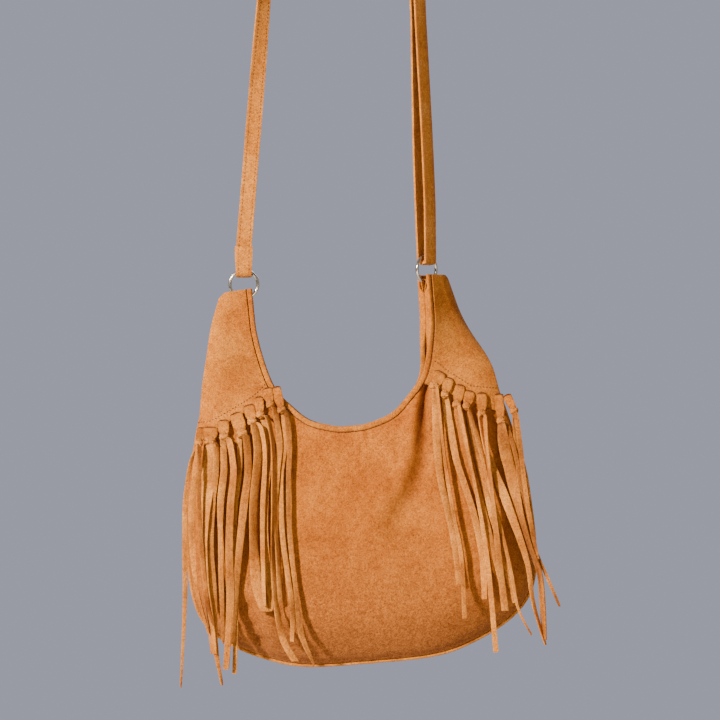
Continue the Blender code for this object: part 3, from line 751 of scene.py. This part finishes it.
def make_yoke(name, side):
    mesh = grid(name, 60, 44, lambda s, t: yoke_place(side, s, t), lambda s, t: yoke_tone(side, s, t))
    made = keep(name + "_suede", mesh, yoke_suede, "bag", (name,))
    return thicken(made, SUEDE, rounded=0.35)


yokes = {-1: make_yoke("front_yoke_left", -1), 1: make_yoke("front_yoke_right", 1)}


def skin_of(made):
    shape = bmesh.new()
    shape.from_mesh(made.data)
    skin = BVHTree.FromBMesh(shape)
    shape.free()
    return skin




YOKE_SKIN = {side: skin_of(yokes[side]) for side in (-1, 1)}


def on_yoke(side, x, z):
    """(place, normal) on the middle of the yoke's suede at (x, z) of the hanging bag, or None off it."""
    start = Vector((x * MM, -1, BAG_CENTRE.z + z * MM))
    hit, normal, _, _ = YOKE_SKIN[side].ray_cast(start, Vector((0, 1, 0)))
    if hit is None:
        return None
    return hit, (normal if normal.y < 0 else -normal)


def slit_line(side):
    """The line that the slits are cut along, run on to both edges of the ear."""
    thongs = THONGS["left" if side < 0 else "right"]
    tops = [Vector(slit) for slit, _, _, _ in thongs]
    first, last = (tops[0] - tops[1]).normalized(), (tops[-1] - tops[-2]).normalized()
    return [tops[0] + first * 8] + tops + [tops[-1] + last * 4]


def slit_stitches(side, above):
    """A row of stitches above the slits."""
    run = []
    line = slit_line(side)
    for i in range(161):
        spot = along(line, i / 160)
        found = on_yoke(side, spot.x, spot.y + above)
        if found:
            run.append((found[0] + found[1] * (SUEDE / 2 + 0.1) * MM, found[1]))
    return run


# The yoke stitches carry painted shade of their holes.
stitches("yoke_stitches", [slit_stitches(-1, 6.0), slit_stitches(1, 6.0)], stitch_shade_thread, "bag", pitch=3.3,
         length=1.8, radius=0.62)


def mouth_place(s):
    """A place round the mouth's edge: its side, the place, and the way to the outer edge."""
    side = 1 if s <= 0.5 else -1
    half = 2 * min(s, 1 - s)
    mouth, outer = along(MOUTH, half), along(OUTER, half)
    inwards = (outer - mouth).normalized()
    return side, mouth, inwards


def make_binding(name, front):
    """Folded suede strip with a full, rounded face, sewn in the ditch."""
    thick = 3.4 if front else 2.4
    sections = 14

    def place(s, t):
        side, mouth, inwards = mouth_place(s)
        angle = 2 * math.pi * t
        c, n = math.cos(angle), math.sin(angle)
        in_plane = math.copysign(abs(c) ** 0.6, c) * (BINDING_WIDTH / 2 + 0.15)
        half = 2 * min(s, 1 - s)
        sewn = smooth(0.075, 0.10, half) * smooth(0.42, 0.26, half)
        inner = thick / 2 + (depth(mouth.x, mouth.y) + (SUEDE / 2 if front else 0) - 0.2 - thick / 2) * sewn
        through = math.copysign(abs(n) ** 0.75, n) * (thick / 2 if n > 0 else inner)
        wave = 0.22 * noise.noise(Vector((s * 140.0, 2.0 if front else 8.0, 0.0)))
        spot = mouth + inwards * (BINDING_WIDTH / 2 + in_plane + wave)
        stand = depth(mouth.x, mouth.y) + (SUEDE / 2 if front else 0) + through + wave
        return hang(side * spot.x, -stand if front else stand, spot.y)

    shape = bmesh.new()
    columns = 220
    rings = []
    for i in range(columns + 1):
        rings.append([shape.verts.new(place(i / columns, j / sections)) for j in range(sections)])
    for a, b in zip(rings, rings[1:]):
        for j in range(sections):
            k = (j + 1) % sections
            shape.faces.new((a[j], b[j], b[k], a[k]))
    shape.faces.new(rings[0])
    shape.faces.new(reversed(rings[-1]))
    bmesh.ops.recalc_face_normals(shape, faces=shape.faces)
    mesh = finished(name, shape)
    return keep(name + "_suede", mesh, yoke_suede, "bag", (name,))


make_binding("mouth_binding_front", True)
make_binding("mouth_binding_back", False)


def make_ditch(name, front):
    """A dark tube of painted shade in the ditch where the binding meets the panel, pinched shut at each
    stitch.
    """
    points, swell = [], []
    for i in range(361):
        s = i / 360
        swell.append(0.72 + 0.28 * math.sin(i * 2.1) + 0.3 * wave(3.0, i * 0.13))
        side, mouth, inwards = mouth_place(s)
        spot = mouth + inwards * (BINDING_WIDTH + 0.55)
        stand = depth(spot.x, spot.y) + ((1.9 if min(s, 1 - s) < YOKE_END / 2 else 0.5) if front else 0.35)
        points.append(hang(side * spot.x, -stand if front else stand, spot.y))
    return tube(name, points, 0.55, painted_shade_suede, "bag", swell=swell)


make_ditch("mouth_seam_front", True)
make_ditch("mouth_seam_back", False)


def make_welt():
    """Piping, full round the bottom and drawn into the seam up the ears."""
    points, swell = [], []
    for i in range(241):
        share = 0.012 + 0.976 * i / 240
        side = 1 if share <= 0.5 else -1
        half = 2 * min(share, 1 - share)
        outer, mouth = along(OUTER, half), along(MOUTH, half)
        full = smooth(0.45, 0.72, half)
        spot = outer + (outer - mouth).normalized() * (-0.9 + 2.8 * full)
        points.append(hang(side * spot.x, 0, spot.y))
        swell.append(0.75 + 0.25 * full)
    tube("seam_welt_suede", points, 1.75, strap_suede, "bag", nodes=("seam_welt",), swell=swell)


make_welt()


def edge_run(front):
    """Places for the stitches a few millimetres inside the outer edge."""
    run = []
    for i in range(201):
        share = 0.16 + 0.68 * i / 200
        across, up = panel_point(share, 0.962)
        stand = depth(across, up) + SUEDE / 2 - 0.4
        place = hang(across, -stand if front else stand, up)
        run.append((place, Vector((0, -1 if front else 1, -0.4)).normalized()))
    return run


stitches("edge_stitches", [edge_run(True), edge_run(False)], tan_thread, "bag", pitch=3.6)


# ---------------------------------------------------------------- the rings and what holds them

def make_ring(name, centre, turn):
    shape = bmesh.new()
    around, sides = 96, 20
    rings = []
    for i in range(around):
        a = 2 * math.pi * i / around
        radial = Vector((math.cos(a) * math.cos(turn), math.cos(a) * math.sin(turn), math.sin(a)))
        normal = Vector((-math.sin(turn), math.cos(turn), 0))
        ring = []
        for j in range(sides):
            b = 2 * math.pi * j / sides
            offset = radial * (RING_MAJOR + RING_WIRE * math.cos(b)) + normal * RING_WIRE * math.sin(b)
            ring.append(shape.verts.new(centre + offset * MM))
        rings.append(ring)
    for i in range(around):
        a, b = rings[i], rings[(i + 1) % around]
        for j in range(sides):
            k = (j + 1) % sides
            shape.faces.new((a[j], b[j], b[k], a[k]))
    bmesh.ops.recalc_face_normals(shape, faces=shape.faces)
    mesh = finished(name, shape)
    return keep(name + "_wire", mesh, metal, name, (name,))


make_ring("ring_left", ring_left_centre, 0.0)
make_ring("ring_right", ring_right_centre, TWIST)


def smooth_stations(stations, each=4):
    """The same strip on a smooth curve, with more stations."""
    fine = []
    last = len(stations) - 1
    for i in range(last * each + 1):
        k = min(i // each, last - 1)
        t = i / each - k
        picks = [stations[max(k - 1, 0)], stations[k], stations[k + 1], stations[min(k + 2, last)]]
        out = []
        for part in (0, 1):
            a, b, c, d = (pick[part] for pick in picks)
            out.append(0.5 * (2 * b + (c - a) * t + (2 * a - 5 * b + 4 * c - d) * t * t
                              + (3 * b - a - 3 * c + d) * t * t * t))
        fine.append((out[0], out[1].normalized()))
    return fine


def ribbon(name, stations, width, thickness, look, body, nodes, crown=0.35, rounded=0.5, flare=0):
    """A flat suede strip through the stations, crowned across, soft at its edges, wider at a folded end."""
    count = len(stations) - 1

    def place(s, t):
        i = round(s * count)
        centre, across = stations[i]
        ahead = stations[min(i + 1, count)][0] - stations[max(i - 1, 0)][0]
        normal = ahead.cross(across).normalized()
        waver = 1.0 + 0.018 * noise.noise(Vector((i * 0.21, 0.0, 4.0))) + 0.15 * smooth(flare + 1, 0, i)
        bow = crown * (1 - (2 * t - 1) ** 2)
        return centre + across * width * waver * MM * (t - 0.5) + normal * bow * MM

    def tone(s, t):
        edge = abs(2 * t - 1)
        # Painted highlight along the strip's edges and painted shade along its stitch rows.
        return 0.5 + 0.10 * smooth(0.86, 1.0, edge) - 0.07 * bell((edge - 0.66) * 10, 1.0)

    made = keep(name, grid(name, count, 12, place, tone), look, body, nodes)
    return thicken(made, thickness, rounded, even=False)


strap_line = smooth_stations(strap_route())
ribbon("strap_suede_strip", strap_line, STRAP_WIDTH, STRAP_THICK, strap_suede, "strap",
       ("strap",), rounded=0.6, flare=13)


def strap_runs():
    """Stitch rows near both edges, on both faces."""
    runs = []
    last = len(strap_line) - 1
    for edge in (-1, 1):
        for face in (-1, 1):
            run = []
            for i, (centre, across) in enumerate(strap_line):
                ahead = strap_line[min(i + 1, last)][0] - strap_line[max(i - 1, 0)][0]
                normal = ahead.cross(across).normalized()
                sideways = across * edge * (STRAP_WIDTH / 2 - 2.7)
                off = sideways + normal * (face * (STRAP_THICK / 2 + 0.05) + 0.15)
                run.append((centre + off * MM, normal * face))
            runs.append(run)
    return runs


stitches("strap_stitches", strap_runs(), tan_thread, "strap", pitch=3.8, length=2.3, radius=0.34)


def make_slider():
    middle = ring_right_centre + drop + Vector((-0.011, 0, SLIDER_HEIGHT * MM))
    across = turned(TWIST)
    corners = []
    for i in range(72):
        angle = 2 * math.pi * i / 72
        c, s = math.cos(angle), math.sin(angle)
        x = math.copysign(abs(c) ** 0.25, c) * SLIDER_HALF_WIDE
        z = math.copysign(abs(s) ** 0.25, s) * SLIDER_HALF_HIGH
        corners.append(middle + across * x * MM + Vector((0, 0, z)) * MM)
    tube("slider_frame", corners, BAR_RADIUS, metal, "strap", cyclic=True, nodes=("slider",))
    reach = across * SLIDER_HALF_WIDE * MM
    tube("slider_bar", [middle - reach, middle + reach], BAR_RADIUS * 0.85, metal, "strap")


make_slider()



def make_tab(name, centre, turn):
    """A suede loop over the ring's lowest point, whose two legs hang down inside the ear."""
    across = Vector((math.cos(turn), math.sin(turn), 0))
    front = Vector((math.sin(turn), -math.cos(turn), 0))
    wire = centre - drop
    bend = RING_WIRE + 1.7
    stations = [(wire + (front * 1.9 + Vector((0, 0, height))) * MM, across) for height in (-20, -13, -6)]
    for i in range(9):
        angle = -math.pi / 10 + math.pi * 1.2 * i / 8
        spot = front * math.cos(angle) * bend + Vector((0, 0, math.sin(angle) * bend + 1.0))
        stations.append((wire + spot * MM, across))
    stations += [(wire + (front * -1.9 + Vector((0, 0, height))) * MM, across) for height in (-6, -13, -20)]
    ribbon(name + "_strip", smooth_stations(stations), 9.0, 1.0, yoke_suede, "bag", (name,),
           crown=0.2, rounded=0.3)


make_tab("ring_tab_left", ring_left_centre, 0.0)
make_tab("ring_tab_right", ring_right_centre, TWIST)


# ---------------------------------------------------------------- the fringe

OPEN_GAPS = 0.86


def add_strand(shape, points, start, layer, seed):
    """One hanging strand: a strip of even width that turns on itself where the fringe narrows."""
    widest = max(max(p[2] for p in points) * OPEN_GAPS, 4.5)
    last = len(points) - 1
    samples = 10 * last
    shut = points[-1][2] <= 3
    rows = []
    for i in range(samples + 1):
        end = i / samples
        x, z, shown = along(points, end)
        shown *= OPEN_GAPS
        natural = widest * (1.0 - (0.6 if shut else 0.2) * end)
        natural = max(natural, shown * 0.98, 2.0)
        turn = math.acos(min(max(shown / natural, 0.3), 1.0)) * (1 if seed % 2 else -1)
        turn += 0.4 * wave(seed, end * 4.0)
        leaving = min(i / 8, 1.0)
        forward = start + (hung_over(x, z) + layer - start) * leaving
        forward += abs(math.sin(turn)) * natural * 0.30 + 0.8 * wave(seed + 0.5, end * 5.0) * leaving
        natural *= smooth(1.04, 0.97, end) if shut else 1.0
        rows.append((x, z, forward, natural, turn))

    def place(s, t):
        x, z, forward, natural, turn = rows[round(s * samples)]
        side = natural * (t - 0.5) + 0.22 * wave(seed + round(t), s * 60.0) * abs(2 * t - 1)
        curl = 0.05 * natural * (1 - (2 * t - 1) ** 2) * (1 + wave(seed, s * 3.0))
        dx = side * math.cos(turn) + curl * math.sin(turn)
        dy = side * math.sin(turn) - curl * math.cos(turn)
        slant = 1.6 * wave(seed, 0.3) * (2 * t - 1) if s > 0.999 else 0.0
        return Vector(((x + dx) * MM, (-forward + dy) * MM, BAG_CENTRE.z + (z + slant) * MM))

    base = 0.47 + 0.75 * wave(seed + 0.2, 1.7)

    def tone(s, t):
        # Random tone along the strand, with painted highlight on its edges.
        rubbed = 0.40 * wave(seed + 0.7, s * 7.0) + 0.10 * abs(2 * t - 1)
        return min(max(base + rubbed, 0.18), 0.85)

    add_grid(shape, samples, 4, place, tone)


def add_wrap(shape, centre, reach, lean, width, thick, seed):
    """One turn of strip round a knot: a flattened ring, tipped by lean."""
    around, sides = 28, 8
    rings = []
    c, s = math.cos(lean), math.sin(lean)
    for i in range(around):
        a = 2 * math.pi * i / around
        ring = []
        for j in range(sides):
            b = 2 * math.pi * j / sides
            out = math.copysign(abs(math.cos(b)) ** 0.7, math.cos(b)) * thick / 2
            rise = math.copysign(abs(math.sin(b)) ** 0.6, math.sin(b)) * width / 2
            rise *= 1 + 0.15 * wave(seed, a * 1.3)
            dx, dy = math.cos(a) * (reach[0] + out), math.sin(a) * (reach[1] + out)
            ring.append(shape.verts.new(centre + Vector((dx * c - rise * s, dy, dx * s + rise * c)) * MM))
        rings.append(ring)
    layer = shape.verts.layers.float["tone"]
    for i in range(around):
        a, b = rings[i], rings[(i + 1) % around]
        for j in range(sides):
            # Painted light on each turn's outer face, painted shade on its inner face, with random tone
            # along it.
            a[j][layer] = 0.53 + 0.10 * math.cos(2 * math.pi * j / sides) + 0.14 * wave(seed, i * 0.4)
            k = (j + 1) % sides
            shape.faces.new((a[j], b[j], b[k], a[k]))


def make_knot(name, knot, forward, wide, lean, seed):
    """A pulled-tight overhand knot: a gathered core under two crossing turns of the strip."""
    shape = bmesh.new()
    layer = shape.verts.layers.float.new("tone")
    centre = Vector((knot[0] * MM, -forward * MM, BAG_CENTRE.z + knot[1] * MM))
    made = bmesh.ops.create_uvsphere(shape, u_segments=28, v_segments=18, radius=1.0)
    c, s = math.cos(lean), math.sin(lean)
    for vertex in made["verts"]:
        x, y, z = vertex.co
        pleat = 1 + 0.09 * math.sin(7 * math.atan2(y, x) + seed)
        # Painted shade: the core darker than its wraps, darker in its pleats' hollows and lighter on their
        # ridges.
        vertex[layer] = 0.42 + 0.5 * (pleat - 1)
        dx, dy, dz = x * pleat * (wide / 2 - 0.9), y * pleat * 2.5, z * 4.6
        vertex.co = centre + Vector((dx * c - dz * s, dy, dx * s + dz * c)) * MM
    reach = (wide / 2 - 0.4, 2.9)
    low = centre - Vector((0, 0, 0.4 * MM))
    add_wrap(shape, low, reach, lean + 0.30 + 0.12 * wave(seed, 0.4), 3.3, 1.3, seed)
    add_wrap(shape, low + Vector((0, 0.2, 0.3)) * MM, reach, lean - 0.42, 3.0, 1.2, seed + 3)
    bmesh.ops.recalc_face_normals(shape, faces=shape.faces)
    keep(name, finished(name, shape), thong_suede, "bag")


def add_loop(shape, slit, knot, width, flange, forward, seed):
    """The loop's front half: arched out of its slit, over the flange, gathered into the knot."""
    top, low = Vector(slit), Vector(knot)
    run = (low - top).normalized()
    aside = Vector((-run.y, run.x))

    def place(s, t):
        u = 2 * t - 1
        gather = 1.0 - 0.38 * smooth(0.55, 1.0, s)
        arch = 1.1 * u ** 4 * smooth(0.35, 0.0, s)
        spot = top.lerp(low, s) + run * arch + aside * u * (width / 2 + 1.0) * gather
        out = flange + (forward - 1.0 - flange) * smooth(0.1, 1.0, s) + 0.9 * math.sin(math.pi * s)
        out -= 2.6 * smooth(0.15, 0.0, s) + 0.5 * u ** 6 * smooth(1.0, 0.2, s)
        out += 0.45 * math.sin(u * 7.0 + seed) * smooth(0.5, 1.0, s)
        return Vector((spot.x * MM, -out * MM, BAG_CENTRE.z + spot.y * MM))

    def tone(s, t):
        # Painted shade where the loop leaves its slit and along its arched edges, with random tone.
        tone = 0.47 - 0.30 * smooth(0.10, 0.0, s) - 0.20 * abs(2 * t - 1) ** 8 + 0.16 * wave(seed, s * 3)
        return max(tone, 0.0)

    add_grid(shape, 16, 10, place, tone)


def make_thong(node, order, slit, knot, width, strands, seed):
    forward = hung_over(*knot) + 6.6
    flange = max(front_of(slit[0] + at, slit[1]) for at in (-width / 2, 0, width / 2)) + SUEDE + 3.0
    shape = bmesh.new()
    for i, points in enumerate(strands):
        root = (knot[0] + (points[0][0] - knot[0]) * 0.4, knot[1] - 1.0, max(points[0][2] * 0.7, 3.0))
        layer = LAYERS_FROM + LAYER * (2 * i + order)
        add_strand(shape, [root] + points, forward, layer, seed * 3 + i)
    made = keep(node + "_strands", finished(node, shape), thong_suede, "bag", (node,))
    # The strands' back shells take the darker copy: painted shade.
    made.data.materials.append(thong_shaded_back)
    thicken(made, STRAND_THICK, 0.2, even=False)
    made.modifiers["Thickness"].material_offset = 1
    shape = bmesh.new()
    add_loop(shape, slit, knot, width, flange, forward, seed)
    loop = keep(node + "_loop", finished(node + "_loop", shape), yoke_suede, "bag")
    thicken(loop, THONG_THICK, 0.3, even=False)
    lean = math.atan2(knot[0] - slit[0], slit[1] - knot[1]) * 0.6
    wide = max(min(width + 0.5, 11.0), 8.5)
    make_knot(node + "_knot", knot, forward, wide, lean, seed)


STRAND_THICK = 1.2
seed = 1
for side, thongs in THONGS.items():
    for number, (slit, knot, width, strands) in enumerate(thongs, 1):
        make_thong(f"thong_{side}_{number}", number % 2, slit, knot, width, strands, seed)
        seed += 1


def make_slits():
    """Dark shapes of painted shade in the mouths of the cut slits that the loops come out of."""
    shape = bmesh.new()
    for thongs in THONGS.values():
        for slit, knot, width, strands in thongs:
            flange = max(front_of(slit[0] + at, slit[1]) for at in (-width / 2, 0, width / 2)) + SUEDE + 1.7
            run = (Vector(knot) - Vector(slit)).normalized()
            across = Vector((-run.y, run.x))
            made = bmesh.ops.create_icosphere(shape, subdivisions=2, radius=1.0)
            for vertex in made["verts"]:
                px, py, pz = vertex.co
                arch = 1.3 * px ** 4
                flat = Vector(slit) + across * px * (width / 2 + 0.8) + run * (pz * 0.7 - 0.2 + arch)
                vertex.co = Vector((flat.x * MM, -(flange + py * 0.7) * MM, BAG_CENTRE.z + flat.y * MM))
    mesh = finished("slits", shape)
    keep("slits", mesh, painted_shade_suede, "bag")


make_slits()


# ---------------------------------------------------------------- floor, light and camera

def make_floor():
    mesh = grid("floor", 2, 2, lambda s, t: Vector(((s - 0.5) * 6, (t - 0.5) * 6, FLOOR_HEIGHT)))
    floor = bpy.data.objects.new("floor", mesh)
    bpy.context.scene.collection.objects.link(floor)
    made, tree, shader = node_material("floor_grey", 0.9)
    place = tree.nodes.new("ShaderNodeTexCoord").outputs["Object"]
    greys = [(0.3, (0.50, 0.51, 0.56)), (0.7, (0.54, 0.55, 0.60))]
    shades = ramp_node(tree, noise_node(tree, place, 3.0), greys)
    tree.links.new(shades, shader.inputs["Base Color"])
    mesh.materials.append(made)
    floor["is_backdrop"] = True


def add_area(name, place, size, power, colour, aim):
    light = bpy.data.lights.new(name, "AREA")
    light.size = size
    light.energy = power
    light.color = colour
    made = bpy.data.objects.new(name, light)
    made.location = place
    made.rotation_euler = (Vector(aim) - Vector(place)).to_track_quat("-Z", "Y").to_euler()
    bpy.context.scene.collection.objects.link(made)


FLOOR_HEIGHT = -1.45
make_floor()
AIM = (0.015, 0.0, -0.70)
add_area("key", (-2.3, -2.6, 0.75), 0.26, 470.0, (1.0, 0.90, 0.74), AIM)
add_area("low", (0.5, -2.2, -1.35), 1.2, 23.0, (1.0, 0.90, 0.76), (0.0, 0.0, -0.90))
add_area("fill", (2.2, -2.4, -0.2), 2.4, 10.0, (1.0, 0.94, 0.88), AIM)
add_area("back", (0.6, 2.6, 0.8), 1.6, 40.0, (0.95, 0.97, 1.0), AIM)



NEAR_SIDE = 0.42


def make_world():
    """An even grey surround, lighter overhead, darker underfoot and on the near side."""
    world = bpy.data.worlds.new("studio")
    world.use_nodes = True
    tree = world.node_tree
    split = tree.nodes.new("ShaderNodeSeparateXYZ")
    tree.links.new(tree.nodes.new("ShaderNodeTexCoord").outputs["Generated"], split.inputs["Vector"])
    height = tree.nodes.new("ShaderNodeMapRange")
    height.inputs["From Min"].default_value = -1.0
    tree.links.new(split.outputs["Z"], height.inputs["Value"])
    stops = [(0.10, (0.03, 0.03, 0.035)), (0.40, (0.352, 0.358, 0.440)), (0.60, (0.352, 0.358, 0.440)),
             (0.90, (0.50, 0.52, 0.58))]
    shades = ramp_node(tree, height.outputs["Result"], stops)
    near = tree.nodes.new("ShaderNodeMapRange")
    near.inputs["From Min"].default_value = -0.55
    near.inputs["From Max"].default_value = 0.15
    near.inputs["To Min"].default_value = NEAR_SIDE
    tree.links.new(split.outputs["Y"], near.inputs["Value"])
    tree.links.new(shades, tree.nodes["Background"].inputs["Color"])
    tree.links.new(near.outputs["Result"], tree.nodes["Background"].inputs["Strength"])
    bpy.context.scene.world = world


make_world()

camera = bpy.data.cameras.new("camera")
camera.lens = 150.0
camera.sensor_width = 36.0
eye = bpy.data.objects.new("camera", camera)
eye.location = (0.015, -3.0, -0.645)
eye.rotation_euler = (math.pi / 2, 0, 0)
bpy.context.scene.collection.objects.link(eye)
bpy.context.scene.camera = eye

boxes = {"cad": cad_box, "visual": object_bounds()}
{key: [list(corner) for corner in box] for key, box in boxes.items()}
